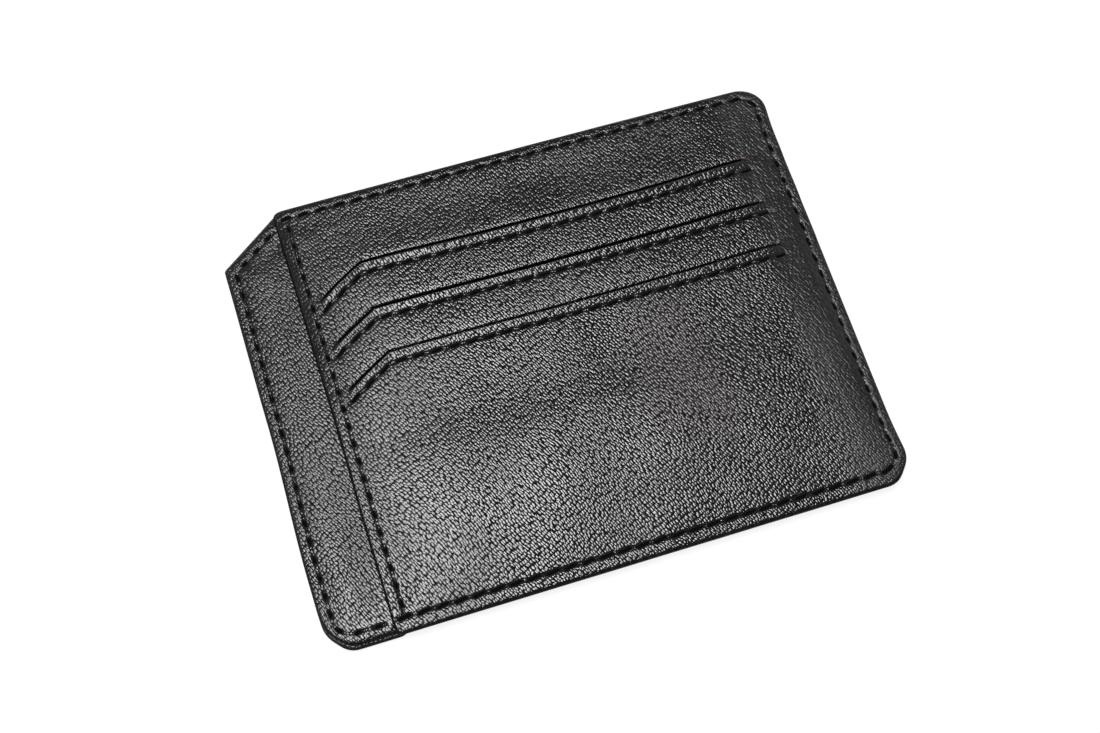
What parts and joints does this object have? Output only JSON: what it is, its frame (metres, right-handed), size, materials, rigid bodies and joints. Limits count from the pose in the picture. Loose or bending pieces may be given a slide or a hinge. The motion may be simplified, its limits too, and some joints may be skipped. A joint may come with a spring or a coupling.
{
  "type": "card holder",
  "caption": "Flat sewn leather card holder with slanted card slots in its front panel, a plain margin with a cut-off corner, and a cash pocket open at the top.",
  "frame": {"origin": "under the middle of the outline, on the plane that the back rests on", "axes": "+X across the width from the plain margin to the right edge, +Y from the bottom edge to the top edge, +Z out of the front"},
  "size_m": [0.112, 0.086, 0.0078],
  "materials": {
    "leather": "fine pebbled grain, satin black",
    "lining": "thin woven black lining",
    "board": "fibre board",
    "thread": "twisted black sewing thread"
  },
  "bodies": {
    "root": {"back_panel": "leather", "base_panel": "leather", "slotted_panel": "leather", "back_lining": "lining", "base_lining": "lining", "pocket_lining_top": "lining", "pocket_lining_middle": "lining", "pocket_lining_bottom": "lining", "back_stiffener": "board", "base_stiffener": "board", "side_seam_front_thread": "thread", "side_seam_back_thread": "thread", "front_hem_thread": "thread", "back_hem_thread": "thread", "fold_edge_thread": "thread", "slot_thread_top": "thread", "slot_thread_middle": "thread", "slot_thread_bottom": "thread"}
  },
  "joints": []
}
